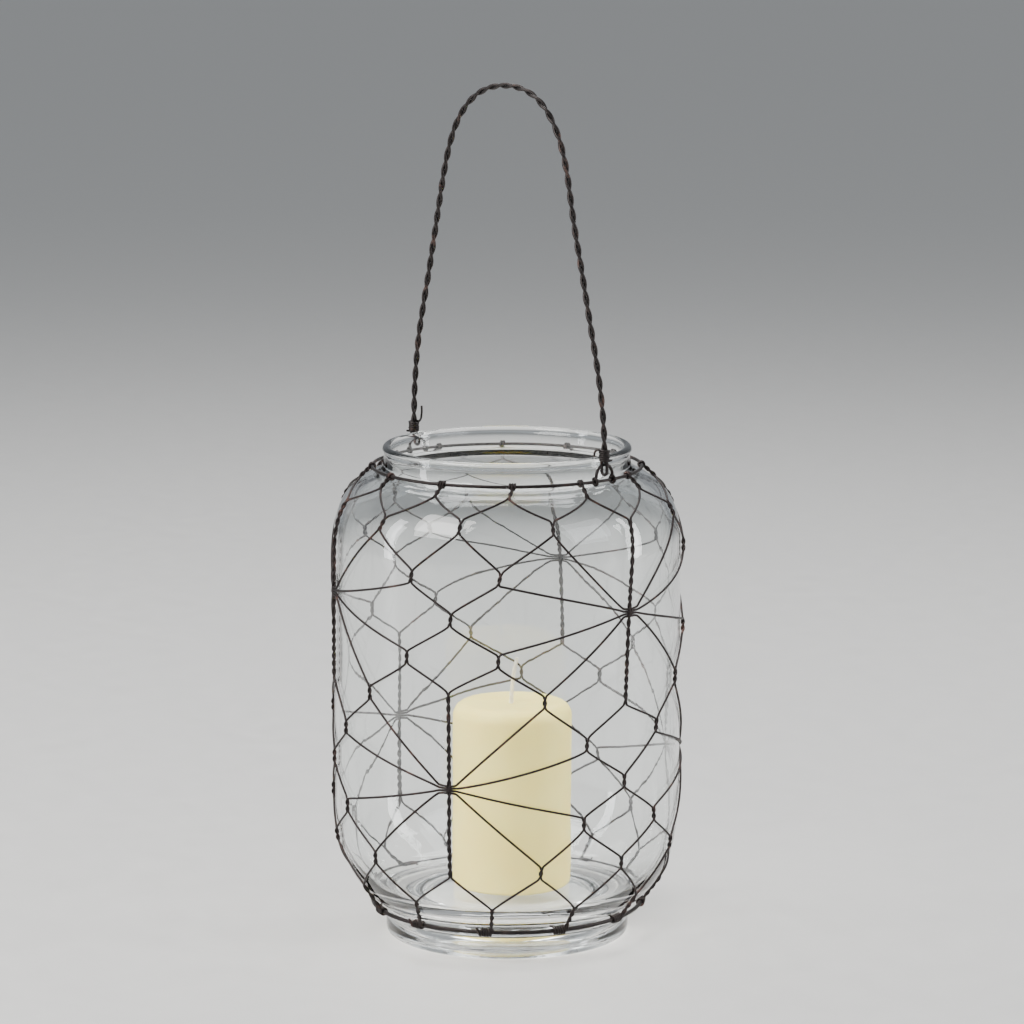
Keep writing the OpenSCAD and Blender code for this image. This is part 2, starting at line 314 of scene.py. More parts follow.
def bez(p, t):
    """Points at the parameters t of the cubic Bezier curve through four control points."""
    t = np.asarray(t, float)[:, None]
    p = np.asarray(p, float)
    return ((1 - t) ** 3 * p[0] + 3 * (1 - t) ** 2 * t * p[1]
            + 3 * (1 - t) * t ** 2 * p[2] + t ** 3 * p[3])


def resample(path, step):
    """The path again, as points about a step apart."""
    path = np.asarray(path, float)
    run = np.concatenate([[0], np.cumsum(np.linalg.norm(np.diff(path, axis=0), axis=1))])
    count = max(2, int(run[-1] / step) + 1)
    at = np.linspace(0, run[-1], count)
    return np.stack([np.interp(at, run, path[:, i]) for i in range(path.shape[1])], 1)


def softened(path, step, sigma):
    """The path resampled evenly, with its corners rounded as a bent wire's are."""
    path = resample(path, step)
    reach = int(4 * sigma / step)
    weight = np.exp(-0.5 * (np.arange(-reach, reach + 1) * step / sigma) ** 2)
    weight /= weight.sum()
    first, last = path[0], path[-1]
    padded = np.concatenate([2 * first - path[reach:0:-1], path, 2 * last - path[-2:-reach - 2:-1]])
    out = np.stack([np.convolve(padded[:, i], weight, "valid") for i in range(3)], 1)
    out[0], out[-1] = first, last
    return out


def thinned(path, angle=0.16, reach=2.2):
    """Fewer points where the wire is straight."""
    step = np.diff(path, axis=0)
    length = np.linalg.norm(step, axis=1)
    heading = unit(step)
    keep, turned, run = [0], 0.0, 0.0
    for i in range(1, len(path) - 1):
        turned += math.acos(max(-1.0, min(1.0, float(heading[i - 1].dot(heading[i])))))
        run += length[i - 1]
        if turned > angle or run > reach:
            keep.append(i)
            turned, run = 0.0, 0.0
    keep.append(len(path) - 1)
    return path[keep]


# ---- jar -----------------------------------------------------------------------------------
BODY_R, JAR_H, WALL, FOOT_R, FLOOR_Z = 81.0, 232.0, 2.8, 57.2, 20.5
FOOT_H, BASE_TOP, SHOULDER_Z, LIP_BEAD, LIP_R = 13.2, 68.0, 186.0, 2.0, 58.0
LIP_C = np.array([LIP_R - LIP_BEAD, JAR_H - LIP_BEAD])
LIP_FROM, LIP_STEP = -50, 8  # degrees round the bead: where the neck meets it, and the next point
JAR_SEGMENTS = 220
OUTER_WAVE, INNER_WAVE, CALM_R = 0.10, 0.22, 20  # mm of unevenness, none within CALM_R
HOLLOW_MIDDLE, HOLLOW_EDGE = (0, 9.4), (36, 9.0)
RING_INNER, RING_OUTER, FOOT_WALL = (49.2, 0.0), (54.8, 0.0), (FOOT_R, 3.2)


def lip_point(degrees):
    """A point (r, z) of the lip's bead: 0 is outermost and 90 is on top."""
    a = math.radians(degrees)
    return tuple(LIP_C + LIP_BEAD * np.array([math.cos(a), math.sin(a)]))


NECK_OUT = (59.6, 220.4)
BASE_CURVE = [(FOOT_R, FOOT_H), (69.5, 22), (BODY_R, 33.2), (BODY_R, BASE_TOP)]
SHOULDER_CURVE = [(BODY_R, SHOULDER_Z), (BODY_R, 205.7), (73.6, 214.4), NECK_OUT]
NECK_CURVE = [NECK_OUT, (57.9, 221.1), (57.2, 224.2), lip_point(LIP_FROM)]
INNER_R, BORE_R = BODY_R - WALL, LIP_R - 2 * LIP_BEAD
INNER_BASE = [(50, FLOOR_Z), (66, FLOOR_Z), (INNER_R, FLOOR_Z + 13), (INNER_R, BASE_TOP - 2)]
INNER_SHOULDER = [(INNER_R, SHOULDER_Z), (INNER_R, 203.7), (71, 211.7), (BORE_R + 2.8, 217.4)]
INNER_NECK = [(BORE_R + 2.8, 217.4), (BORE_R + 0.7, 218.3), (BORE_R, 221.2), (BORE_R, 226.6)]


def straight(a, b, count):
    """The points between two ends, which are left out."""
    return [tuple(p) for p in np.linspace(a, b, count)[1:-1]]


def jar_profile():
    """The glass's outline, up the outside and down the inside, and the number of outside points."""
    grid = np.linspace(0, 1, 34)
    lip = [lip_point(a) for a in range(LIP_FROM + LIP_STEP, 181, LIP_STEP)]
    foot = [HOLLOW_MIDDLE] + straight(HOLLOW_MIDDLE, HOLLOW_EDGE, 14)
    foot += [HOLLOW_EDGE, (41.5, 7.8), (44.8, 5.4), (46.6, 2.6), (47.8, 0.8), RING_INNER]
    foot += straight(RING_INNER, RING_OUTER, 5)
    foot += [RING_OUTER, (56.0, 0.3), (56.8, 1.0), (57.1, 2.0), FOOT_WALL]
    foot += straight(FOOT_WALL, (FOOT_R, FOOT_H - 1.2), 6) + [(FOOT_R + 0.1, FOOT_H - 1.2)]
    outer = [tuple(p) for p in bez(BASE_CURVE, grid[1:])]
    outer += straight(BASE_CURVE[3], SHOULDER_CURVE[0], 42)
    outer += [tuple(p) for p in bez(SHOULDER_CURVE, grid)]
    outer += [tuple(p) for p in bez(NECK_CURVE, np.linspace(0, 1, 14)[1:-1])]
    inner = [tuple(p) for p in bez(INNER_NECK, np.linspace(1, 0, 14)[:-1])]
    inner += [tuple(p) for p in bez(INNER_SHOULDER, grid[::-1])]
    inner += straight(INNER_SHOULDER[0], INNER_BASE[3], 42)
    inner += [tuple(p) for p in bez(INNER_BASE, grid[::-1])]
    inner += straight(INNER_BASE[0], (0, FLOOR_Z), 16) + [(0, FLOOR_Z)]
    return foot + outer + lip + inner, len(foot) + len(outer)


def build_jar(material):
    """The glass, a little uneven, more so inside than outside. It throws no shadow."""
    profile, outer_count = jar_profile()

    def wobble(verts):
        out = verts.copy()
        for i, (x, y, z) in enumerate(verts):
            r = math.hypot(x, y)
            if r < CALM_R or z < 3:
                continue
            inside = i > 1 + outer_count * JAR_SEGMENTS
            amount = INNER_WAVE if inside else OUTER_WAVE
            push = noise.noise(Vector((x / 26, y / 26, z / 48 + (7 if inside else 0)))) * amount
            push *= min(1, (r - CALM_R) / CALM_R)
            out[i, 0] += x / r * push
            out[i, 1] += y / r * push
        return out

    verts, faces = lathe(profile, JAR_SEGMENTS, wobble)
    jar = make_object("jar_of_blown_glass", verts, faces, material, "lantern", "clear_glass")
    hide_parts("glass_jar")
    jar.visible_shadow = False


# ---- hoops and the glass surface that the netting lies on -------------------------------------
NECK_HOOP_D, NECK_HOOP_R, NECK_HOOP_Z = 1.6, 62.6, 222.0
BASE_HOOP_D, BASE_HOOP_R, BASE_HOOP_Z = 2.0, 63.5, 15.0
NET_R = 0.55
SKEW_FADING, SKEW_BELOW = 6.6, -4.4  # degrees


class Surface:
    """The outside of the glass as a run from the foot to the neck, in mm along its profile."""

    def __init__(self):
        pts = np.concatenate([bez(BASE_CURVE, np.linspace(0, 1, 120)),
                              bez(SHOULDER_CURVE, np.linspace(0, 1, 120))])
        self.run = np.concatenate([[0], np.cumsum(np.linalg.norm(np.diff(pts, axis=0), axis=1))])
        direction = unit(np.gradient(pts, axis=0))
        self.pts, self.normal = pts, np.stack([direction[:, 1], -direction[:, 0]], 1)

    def at_height(self, z):
        return float(np.interp(z, self.pts[:, 1], self.run))

    def point(self, angle, run, lift, side=0.0):
        """3-D point at an angle in degrees and a run in mm, lifted off the glass, side mm round it."""
        angle, run = np.asarray(angle, float), np.asarray(run, float)
        lift, side = np.asarray(lift, float), np.asarray(side, float)
        r = np.interp(run, self.run, self.pts[:, 0])
        z = np.interp(run, self.run, self.pts[:, 1])
        nr = np.interp(run, self.run, self.normal[:, 0])
        nz = np.interp(run, self.run, self.normal[:, 1])
        a = np.radians(angle + skew(z)) + side / r
        r, z = r + nr * lift, z + nz * lift
        return np.stack([r * np.cos(a), r * np.sin(a), z], -1)


def skew(z):
    """How far the netting is turned round the jar at a height, in degrees."""
    return SKEW_FADING * np.exp(-(NECK_HOOP_Z - z) / (2 * ROW_PITCH)) + SKEW_BELOW


# ---- netting -----------------------------------------------------------------------------------
COLUMNS, LAST_ROW, ROW_PITCH, ROW_ONE_Z = 12, 10, 19.35, 203.6
FIRST_ROW_Z, LAST_ROW_Z = 215.9, 28.6
COLUMN_START = -120  # degrees
STARS = (3, 7)
TWIST_LEN = 6.0
SPINE_TURNS = 10
SPINE_UNEVEN, SPINE_WAVES = 0.12, 2.3  # turns by which a spine's twist runs ahead and behind
LONG_RAY, SHORT_RAY = 5.0, 3.4  # level legs of a star's rays on its two sides
FAR_GAP, NEAR_GAP = 1.7, 0.57  # half the height between a ray's legs
# Between two joints a strand eases out of its twist over a share of the gap, up to a longest
# length, has a point about every BRIDGE_STEP mm, and bows by up to a share of the gap.
EASE_SHARE, EASE_LONGEST, BRIDGE_STEP, BOW = 0.25, 3.2, 2.2, 0.02
TOP_TURNS, TAIL_TURNS = 1.0, 1.5
PAIR = NET_R + 0.01
TWIST_LIFT = NET_R + PAIR + 0.1
LOW_LIFT = NET_R + 0.12
TAIL_SLANT = 3.2
# Knots that slid along the base hoop: wire -> degrees.
KNOT_SLID = {1: -3.0, 2: -1.6, 3: -0.5, 8: 2.0, 10: -1.5}
NECK_COIL_R = NECK_HOOP_D / 2 + NET_R + 0.03
BASE_COIL_R = BASE_HOOP_D / 2 + NET_R + 0.03
# Pitches are mm along the hoop for each turn, and phases are the radians that a coil starts at.
WRAP_HALF_PITCH, WRAP_PHASE = 0.58, -0.5
KNOT_FROM, KNOT_PITCH, KNOT_PHASE = 3.5, 1.17, 0.2
GLASS = Surface()
RNG = random.Random(41)
# How far each joint wanders off the regular lattice: mm round the jar, mm up, mm of tilt.
WANDER = {(row, half): (RNG.uniform(-1.4, 1.4), RNG.uniform(-1.7, 1.7), RNG.uniform(-0.5, 0.5))
          for row in range(LAST_ROW + 1) for half in range(2 * COLUMNS)}


def shift(row, half):
    """(mm round, mm up, mm of tilt) of a joint."""
    side, up, tilt = WANDER[(row, half % (2 * COLUMNS))]
    if row == 0:  # the row under the neck wraps keeps closer to its height
        up *= 0.3
    return side, up, tilt


def row_z(row):
    """A row's height."""
    if row == 0:
        return FIRST_ROW_Z
    return LAST_ROW_Z if row == LAST_ROW else ROW_ONE_Z - ROW_PITCH * (row - 1)


def touch_half(lane, row):
    """Twice the column that a lane's strand touches on a row."""
    return lane + (lane + row + 1) % 2


def lane_side(lane, row):
    """The side of its joint on which a lane's strand comes in: -1 left, 1 right."""
    return -1 if touch_half(lane, row) > lane else 1


def star_offset(lane, star):
    """Lanes from a star's column to this lane: 0 lies just right of the column, -1 just left."""
    first = 0 if star == STARS[0] else 4
    return (lane - first + 3) % 8 - 3


def nearest_star(lane, row):
    """The star that matters to a lane on a row, and the lane's offset from it."""
    near = [(abs(row - star) // 3, abs(star_offset(lane, star) + 0.5), star) for star in STARS]
    star = min(near)[2]
    return star, star_offset(lane, star)


def half_angle(half):
    """The angle, before the skew, of a place that is numbered in halves of a column."""
    return 360 / (2 * COLUMNS) * half + COLUMN_START


def joint(lane, row):
    """(angle, run of the middle, tilt) of the joint that a lane touches on a row."""
    side, up, tilt = shift(row, touch_half(lane, row))
    angle = half_angle(touch_half(lane, row)) + math.degrees(side / BODY_R)
    return angle, GLASS.at_height(row_z(row) + up), tilt


def twist(angle, run, side, tilt):
    """Points of one strand of a joint, a full turn from top to bottom."""
    f = np.linspace(0, 1, 18)
    turn = TAU * f
    top, low = run + TWIST_LEN / 2, run - TWIST_LEN / 2
    return GLASS.point(angle, top + (low - top) * f,
                       TWIST_LIFT + side * PAIR * np.sin(turn),
                       side * PAIR * np.cos(turn) + tilt * (0.5 - f) * 2)


def spine(half, star, side):
    """One strand of a star's long twist, through the shifts of its three joints."""
    shifts = [shift(row, half) for row in (star - 2, star, star + 2)]
    top = GLASS.at_height(row_z(star - 2) + shifts[0][1]) + TWIST_LEN / 2
    low = GLASS.at_height(row_z(star + 2) + shifts[2][1]) - TWIST_LEN / 2
    f = np.linspace(0, 1, SPINE_TURNS * 16)
    drift = (shifts[0][0] * (1 - f) * (1 - 2 * f) + shifts[1][0] * 4 * f * (1 - f)
             + shifts[2][0] * f * (2 * f - 1))
    turn = TAU * (SPINE_TURNS * f + SPINE_UNEVEN * np.sin(TAU * SPINE_WAVES * f))
    return GLASS.point(half_angle(half), top + (low - top) * f, TWIST_LIFT + side * PAIR * np.sin(turn),
                       drift + side * PAIR * np.cos(turn))


def hook_points(lane, star):
    """A ray strand at a star: in along a short level leg, round the spine, and out again."""
    offset = star_offset(lane, star)
    side = 1 if offset > 0 else -1
    half = lane - offset
    middle, up, _ = shift(star, half)
    run = GLASS.at_height(row_z(star) + up)
    reach = LONG_RAY if side == (1 if star == STARS[0] else -1) else SHORT_RAY
    half_gap = FAR_GAP if offset in (1, -2) else NEAR_GAP
    v = np.array([half_gap * 1.2, half_gap, half_gap, 0, -half_gap, -half_gap, -half_gap * 1.2])
    t = np.array([reach, reach * 0.6, 0.9, 0.1, 0.9, reach * 0.6, reach]) * side + middle
    lift = TWIST_LIFT + np.array([-0.25, 0, 0.5, 0.75, 0.4, 0, -0.25])
    return GLASS.point(half_angle(half), run + v, lift, t)


def strand_points(lane):
    """The twists and hooks of one strand from its first mesh joint to its last."""
    pieces = []
    for row in range(1, LAST_ROW):
        star, offset = nearest_star(lane, row)
        away = abs(row - star)
        if offset in (0, -1) and away < 3:
            if away == 0:
                pieces.append(spine(lane - offset, star, 1 if offset == 0 else -1))
        elif offset in (1, -2) and away == 1:
            continue
        elif away == 0 and -4 < offset < 3:
            pieces.append(hook_points(lane, star))
        else:
            angle, run, tilt = joint(lane, row)
            pieces.append(twist(angle, run, lane_side(lane, row), tilt))
    return pieces


def stretch_along(start, end, side, turns, count):
    """One strand of a pair twisted along a straight stretch between two points."""
    f = np.linspace(0, 1, count)[:, None]
    centre = start + (end - start) * f
    along = unit(end - start)
    around = unit(np.cross(along, np.array([start[0], start[1], 0])))
    out = np.cross(around, along)
    turn = TAU * turns * f
    return centre + side * PAIR * (np.cos(turn) * around + np.sin(turn) * out)


def bridge(before, after):
    """Points between two pieces: on the glass, eased in and out of each twist, a little bowed."""
    ends = []
    for piece, i, j in ((before, -2, -1), (after, 0, 1)):
        p, q = piece[i], piece[j]
        heading = math.atan2(q[1], q[0]) - math.atan2(p[1], p[0])
        heading = (heading + math.pi) % TAU - math.pi
        slope = np.array([heading * BODY_R, q[2] - p[2]])
        ends.append(slope / max(np.linalg.norm(slope), 1e-9))
    a, b = before[-1], after[0]
    start = np.array([math.atan2(a[1], a[0]) * BODY_R, a[2]])
    end = np.array([math.atan2(b[1], b[0]) * BODY_R, b[2]])
    end[0] += TAU * BODY_R * round((start[0] - end[0]) / (TAU * BODY_R))
    gap = np.linalg.norm(end - start)
    pull = min(EASE_SHARE * gap, EASE_LONGEST)
    f = np.linspace(0, 1, max(5, int(gap / BRIDGE_STEP)) + 2)[1:-1, None]
    flat = ((2 * f ** 3 - 3 * f ** 2 + 1) * start + (f ** 3 - 2 * f ** 2 + f) * pull * ends[0]
            + (3 * f ** 2 - 2 * f ** 3) * end + (f ** 3 - f ** 2) * pull * ends[1])
    across = np.array([-(end - start)[1], (end - start)[0]]) / max(gap, 1e-9)
    flat = flat + across * RNG.uniform(-BOW, BOW) * gap * np.sin(math.pi * f)
    f = f[:, 0]
    run = np.array([GLASS.at_height(z) for z in flat[:, 1]])
    p = GLASS.point(0, run, LOW_LIFT + (TWIST_LIFT - LOW_LIFT) * (2 * f - 1) ** 2)
    radius, angle = np.hypot(p[:, 0], p[:, 1]), flat[:, 0] / BODY_R
    return np.stack([radius * np.cos(angle), radius * np.sin(angle), p[:, 2]], 1)


def hoop_point(hoop_r, hoop_z, angle, around, coil_r, side=0.0):
    """A point beside a hoop: around, in radians, is 0 at its outside and pi / 2 on top."""
    a = math.radians(angle) + side / hoop_r
    r = hoop_r + coil_r * math.cos(around)
    return (r * math.cos(a), r * math.sin(a), hoop_z + coil_r * math.sin(around))


def wrap_angle(wire):
    return half_angle(2 * wire + 1) + float(skew(NECK_HOOP_Z))


def knot_angle(wire):
    return half_angle(2 * wire + 1) - TAIL_SLANT + KNOT_SLID.get(wire, 0) + float(skew(BASE_HOOP_Z))


def net_strand(lane):
    """A whole strand: twisted with its neighbour under the neck wrap, down through its joints, and
    twisted again to the base knot."""
    # side -1 is the strand that leaves towards lower angles, as the joints below expect
    wire, side = lane // 2, -1 if lane % 2 == 0 else 1
    start = np.array(hoop_point(NECK_HOOP_R, NECK_HOOP_Z, wrap_angle(wire), WRAP_PHASE, NECK_COIL_R + 0.2))
    angle, run, _ = joint(lane, 0)
    top = stretch_along(start, GLASS.point(angle, run, TWIST_LIFT), side, TOP_TURNS, 22)
    angle, run, _ = joint(lane, LAST_ROW)
    low = np.array(hoop_point(BASE_HOOP_R, BASE_HOOP_Z + 1.5, knot_angle(wire), 0.1, BASE_COIL_R + 0.1, 3.2))
    tail = stretch_along(GLASS.point(angle, run, TWIST_LIFT), low, lane_side(lane, LAST_ROW), TAIL_TURNS, 26)
    pieces = [top, *strand_points(lane), tail]
    points = [top]
    for before, after in zip(pieces, pieces[1:]):
        points += [bridge(before, after), after]
    end = hoop_point(BASE_HOOP_R, BASE_HOOP_Z, knot_angle(wire), 0, BASE_COIL_R, 3.3 + side * 0.3)
    points.append(np.array([end]))
    return thinned(softened(np.concatenate(points), 0.3, 0.3))


def coil(hoop_r, hoop_z, angle, start_side, end_side, turns, coil_r, phase, stub=0.0):
    """A wire wound round a hoop, with an end that stands off by stub mm if that isn't 0."""
    count = int(18 * turns) + 1
    points = []
    for i in range(count):
        f = i / (count - 1)
        points.append(hoop_point(hoop_r, hoop_z, angle, phase + TAU * turns * f, coil_r,
                                 start_side + (end_side - start_side) * f))
    if stub:
        around = phase + TAU * turns
        for j in range(1, 5):
            points.append(hoop_point(hoop_r, hoop_z, angle, around + 0.16 * j, coil_r + stub * j / 4,
                                     end_side - 0.25 * j))
    return np.array(points)


def build_net(material):
    for wire in range(COLUMNS):
        verts, faces = join([tube(net_strand(2 * wire + k), NET_R) for k in (0, 1)])
        obj = make_object(f"netting_wire_{wire + 1:02d}", verts, faces, material, "lantern", "netting_wire")
        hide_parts(f"net_wire_{wire + 1:02d}")

    wraps = []
    for w in range(COLUMNS):
        turns = RNG.choice((1.9, 2.0, 2.4))
        half = turns * WRAP_HALF_PITCH
        wraps.append(tube(coil(NECK_HOOP_R, NECK_HOOP_Z, wrap_angle(w), -half, half, turns,
                               NECK_COIL_R, WRAP_PHASE), NET_R))
    obj = make_object("neck_hoop_wraps", *join(wraps), material, "lantern", "netting_wire")
    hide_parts("neck_wraps")

    knots = []
    for w in range(COLUMNS):
        turns = 5 + RNG.choice((0.0, 0.25, 0.5, 1.0))
        width = turns * KNOT_PITCH
        knots.append(tube(coil(BASE_HOOP_R, BASE_HOOP_Z, knot_angle(w), KNOT_FROM, KNOT_FROM - width, turns,
                               BASE_COIL_R, KNOT_PHASE, RNG.uniform(1.0, 2.2)), NET_R))
    obj = make_object("base_hoop_knots", *join(knots), material, "lantern", "netting_wire")
    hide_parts("base_knots")


def build_hoop(name, node, hoop_r, hoop_z, hoop_d, seed, material):
    """A closed hoop of round wire, a little out of true."""
    count, sides = 300, 12
    path = []
    for i in range(count):
        a = TAU * i / count
        r = hoop_r + 0.12 * noise.noise(Vector((math.cos(a) * 2.2, math.sin(a) * 2.2, seed)))
        z = hoop_z + 0.15 * noise.noise(Vector((math.cos(a) * 1.7, math.sin(a) * 1.7, seed + 9)))
        path.append((r * math.cos(a), r * math.sin(a), z))
    verts, faces = [], []
    for p in np.array(path):
        out = np.array([p[0], p[1], 0]) / math.hypot(p[0], p[1])
        for k in range(sides):
            b = TAU * k / sides
            verts.append(p + hoop_d / 2 * (math.cos(b) * out + math.sin(b) * np.array([0, 0, 1])))
    for i in range(count):
        j = (i + 1) % count
        for k in range(sides):
            k2 = (k + 1) % sides
            faces.append((i * sides + k, j * sides + k, j * sides + k2, i * sides + k2))
    obj = make_object(name, np.array(verts), faces, material, "lantern", "hoop_wire")
    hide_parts(node)


# ---- handle ------------------------------------------------------------------------------------
HINGE_Z = NECK_HOOP_Z + 2
EYELET_R, EYELET_WIRE = 5.3, 0.75
LOOP_HALF, LOOP_LOW, LOOP_WIRE = 1.65, 0.6, 0.75
STRAND_R, HANDLE_PITCH, CROWN_Z = 0.75, 15.4, 398.0
HELIX_R = STRAND_R + 0.02
BIND_LOW, BIND_LEN, BIND_WIRE = 6.45, 6.0, 0.52
LEG_FROM = HINGE_Z + BIND_LOW
LEG_TOP = (47, 326)
LEG_CURVE = [(NECK_HOOP_R, LEG_FROM), (NECK_HOOP_R + 0.4, 262), (56, 288), LEG_TOP]
CROWN_CURVE = [LEG_TOP, (39.6, 354.8), (38.5, CROWN_Z), (0, CROWN_Z)]
HANDLE_LEAN, LEAN_FROM = -1.5, 240
BEND, BEND_LIMIT = 0.5, 0.4  # the share of the noise that bends the handle, and its most upwards
BIND_TURNS, BIND_PHASE = 5.4, 3.9  # of the coil that binds the strands, in turns and radians


def handle_line():
    """The handle's centre line in the plane of X and Z, right end to left end, hand-bent."""
    t = np.linspace(0, 1, 120)
    half = np.concatenate([bez(LEG_CURVE, t), bez(CROWN_CURVE, t[1:])])
    line = np.concatenate([half, half[-2::-1] * (-1, 1)])
    line = resample(line, 1.0)
    run = np.arange(len(line)) / (len(line) - 1)
    ease = np.clip(np.minimum(run, 1 - run) * 12, 0, 1)
    bends = np.array([(noise.noise(Vector((r * 9, 3.1, 0))) * 1.5, noise.noise(Vector((r * 9, 8.7, 0))) * 1.2)
                      for r in run])
    side = np.array([noise.noise(Vector((r * 7, 1.2, 5.0))) for r in run])
    rise = np.clip((line[:, 1] - LEAN_FROM) / (CROWN_Z - LEAN_FROM), 0, 1)
    x = line[:, 0] + bends[:, 0] * ease * BEND + HANDLE_LEAN * np.sin(math.pi * rise)
    z = line[:, 1] + np.minimum(bends[:, 1], BEND_LIMIT) * ease * BEND
    return np.stack([x, side * ease, z], 1)


def build_handle(material):
    """The two strands, wound round the handle's centre line at a pitch that drifts a little."""
    line = handle_line()
    run = np.concatenate([[0], np.cumsum(np.linalg.norm(np.diff(line, axis=0), axis=1))])
    total = run[-1]
    turns = round(total / HANDLE_PITCH * 2) / 2
    at = np.arange(0, total, 1.0)
    at = np.append(at, total)
    centre = np.stack([np.interp(at, run, line[:, i]) for i in range(3)], 1)
    tangent = unit(np.gradient(centre, axis=0))
    across = np.array([0, 1.0, 0]) - tangent * tangent[:, 1:2]
    across = unit(across)
    inward = np.cross(tangent, across)
    for name, node, start in (("handle_strand_one", "handle_strand_a", 0.0),
                              ("handle_strand_two", "handle_strand_b", math.pi)):
        pitch_drift = np.array([0.35 * noise.noise(Vector((a / 60, 2.5, 0.4))) for a in at])
        turn = start + TAU * turns * at / total + pitch_drift
        path = (centre + HELIX_R * (np.cos(turn)[:, None] * inward + np.sin(turn)[:, None] * across))
        verts, faces = tube(path, STRAND_R, 10)
        obj = make_object(name, verts, faces, material, "handle", "handle_wire")
        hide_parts(node)


def build_handle_end(name, node, sign, spare, material):
    """The loop that hangs in an eyelet, the close coil that binds the strands above it, and the
    binding's spare end, which sticks out by `spare` (mm out, mm up) from the coil's top."""
    low = HINGE_Z + LOOP_LOW + LOOP_HALF
    leg = [(0.79, LEG_FROM + 4.5), (0.85, LEG_FROM + 2.6), (1.25, LEG_FROM + 1.2),
           (LOOP_HALF, LEG_FROM + 0.1), (LOOP_HALF, low + 2.0)]
    bow = [(LOOP_HALF * math.cos(a), low + LOOP_HALF * math.sin(a)) for a in np.linspace(0, -math.pi, 15)]
    loop = leg + bow + [(-x, z) for x, z in reversed(leg)]
    loop = softened(np.array([(x, 0, z) for x, z in loop]), 0.25, 0.35)
    f = np.linspace(0, 1, int(BIND_TURNS * 20))
    turn = TAU * BIND_TURNS * f + BIND_PHASE
    radius = STRAND_R * 2 + 0.03 + BIND_WIRE + 0.12 * (1 - np.cos(turn * 0.37))
    binding = np.stack([radius * np.cos(turn), radius * np.sin(turn) * 0.94,
                        LEG_FROM + 0.1 + BIND_WIRE + (BIND_LEN - 2 * BIND_WIRE) * (1 - f)], 1)
    last = binding[-1]
    heading = np.array([-math.sin(turn[-1]), math.cos(turn[-1]), 0.15])
    stub = np.array([last + heading * d + np.array([math.cos(turn[-1]), math.sin(turn[-1]), 0]) * d * 0.35
                     for d in (0.6, 1.2, 1.9)])
    first = binding[0]
    side = np.array([-0.72, -0.69, 0.0])
    rise = np.array([first + side * spare[0] * a + np.array([0, 0, spare[1] * b])
                     for a, b in ((1.0, 1.0), (1.05, 0.6), (0.85, 0.2), (0.4, 0.0))])
    binding = softened(np.concatenate([rise, binding, stub]), 0.3, 0.3)
    parts = []
    for path, wire, sides in ((loop, LOOP_WIRE, 12), (binding, BIND_WIRE, 9)):
        path = path.copy()
        path[:, 0] = (path[:, 0] + NECK_HOOP_R) * sign
        path[:, 1] *= sign
        parts.append(tube(path, wire, sides))
    obj = make_object(name, *join(parts), material, "handle", "handle_wire")
    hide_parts(node)


def build_eyelet(name, node, sign, material):
    """An arch of wire that stands on the neck hoop, each foot wound once round it."""
    foot_angle = math.degrees(math.asin(EYELET_R / NECK_HOOP_R))
    coil_r = NECK_HOOP_D / 2 + 0.04 + EYELET_WIRE
    arch = [(NECK_HOOP_R, EYELET_R * math.cos(a), HINGE_Z + EYELET_R * math.sin(a))
            for a in np.linspace(0.1, math.pi - 0.1, 26)]
    right = coil(NECK_HOOP_R, NECK_HOOP_Z, foot_angle, 0.55, -0.1, 1.15, coil_r, math.pi * 0.35)
    left = coil(NECK_HOOP_R, NECK_HOOP_Z, -foot_angle, 0.1, -0.55, 1.15, coil_r, math.pi * 0.5)
    path = softened(np.concatenate([right, arch, left]), 0.3, 0.4)
    path[:, 0] *= sign
    path[:, 1] *= sign
    obj = make_object(name, *tube(path, EYELET_WIRE, 12), material, "lantern", "hoop_wire")
    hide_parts(node)


# ---- candle ------------------------------------------------------------------------------------
CANDLE_R, CANDLE_Z, CANDLE_H, SHOULDER_ROUND = 27.9, FLOOR_Z + 0.1, 89.5, 6.5
CANDLE_OFF, CANDLE_FOOT_ROUND, CANDLE_DISH = 1.6, 2.4, 0.9
WICK_LEN, WICK_CORDS, WICK_PLAIT_R, WICK_TURNS, WICK_POINTS = 20.5, 3, 0.42, 4.5, 40


def build_candle(wax):
    foot = CANDLE_FOOT_ROUND
    profile = [(0, 0)] + straight((0, 0), (CANDLE_R - foot, 0), 10)
    profile += [(CANDLE_R - foot + foot * math.sin(a), foot - foot * math.cos(a))
                for a in np.linspace(0, math.pi / 2, 8)]
    profile += straight((CANDLE_R, foot), (CANDLE_R, CANDLE_H - SHOULDER_ROUND), 40)
    profile += [(CANDLE_R - SHOULDER_ROUND + SHOULDER_ROUND * math.cos(a),
                 CANDLE_H - SHOULDER_ROUND + SHOULDER_ROUND * math.sin(a))
                for a in np.linspace(0, math.pi / 2, 16)]
    rim = CANDLE_R - SHOULDER_ROUND
    profile += [(rim * f, CANDLE_H - CANDLE_DISH * (1 - f) ** 1.3) for f in np.linspace(1, 0, 14)[1:]]

    def wobble(verts):
        out = verts.copy()
        for i, (x, y, z) in enumerate(verts):
            n = noise.noise(Vector((x / 22, y / 22, z / 30)))
            scale = 1 + 0.0045 * n if z > 1.5 else 1
            out[i, 0], out[i, 1] = x * scale, y * scale
            if z > CANDLE_H - 2:
                out[i, 2] = z + 0.25 * noise.noise(Vector((x / 9, y / 9, 4.0))) - 0.2
        return out + (CANDLE_OFF, CANDLE_OFF, CANDLE_Z)

    obj = make_object("pillar_candle", *lathe(profile, 160, wobble), wax, "candle", "candle_wax")
    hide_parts("candle")


